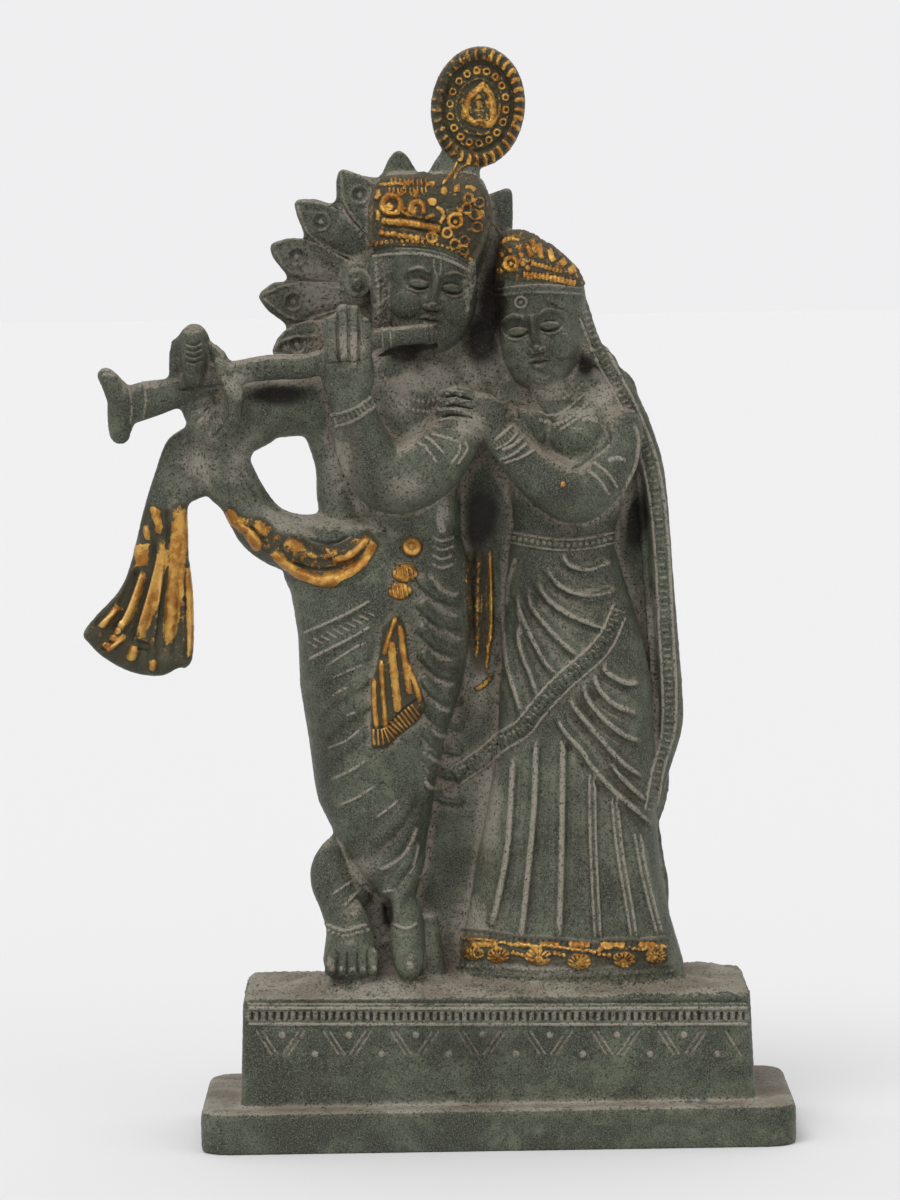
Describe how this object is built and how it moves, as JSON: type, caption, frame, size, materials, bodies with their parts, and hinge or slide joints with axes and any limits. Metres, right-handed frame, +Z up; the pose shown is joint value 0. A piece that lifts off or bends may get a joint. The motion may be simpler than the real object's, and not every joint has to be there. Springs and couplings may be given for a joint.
{
  "type": "deity statue",
  "caption": "Brass table statue of Radha and Krishna playing the flute, standing side by side on a two-step plinth.",
  "frame": {"origin": "middle of the plinth's flat underside", "axes": "+Z up along the figures, the front of the group faces -Y, +X to the viewer's right"},
  "size_m": [0.181, 0.06, 0.2806],
  "materials": {
    "patinated_brass": "dark green-grey patina, rubbed to gold on raised ornament"
  },
  "bodies": {
    "root": {"radha_krishna_statue": "patinated_brass"}
  },
  "joints": []
}
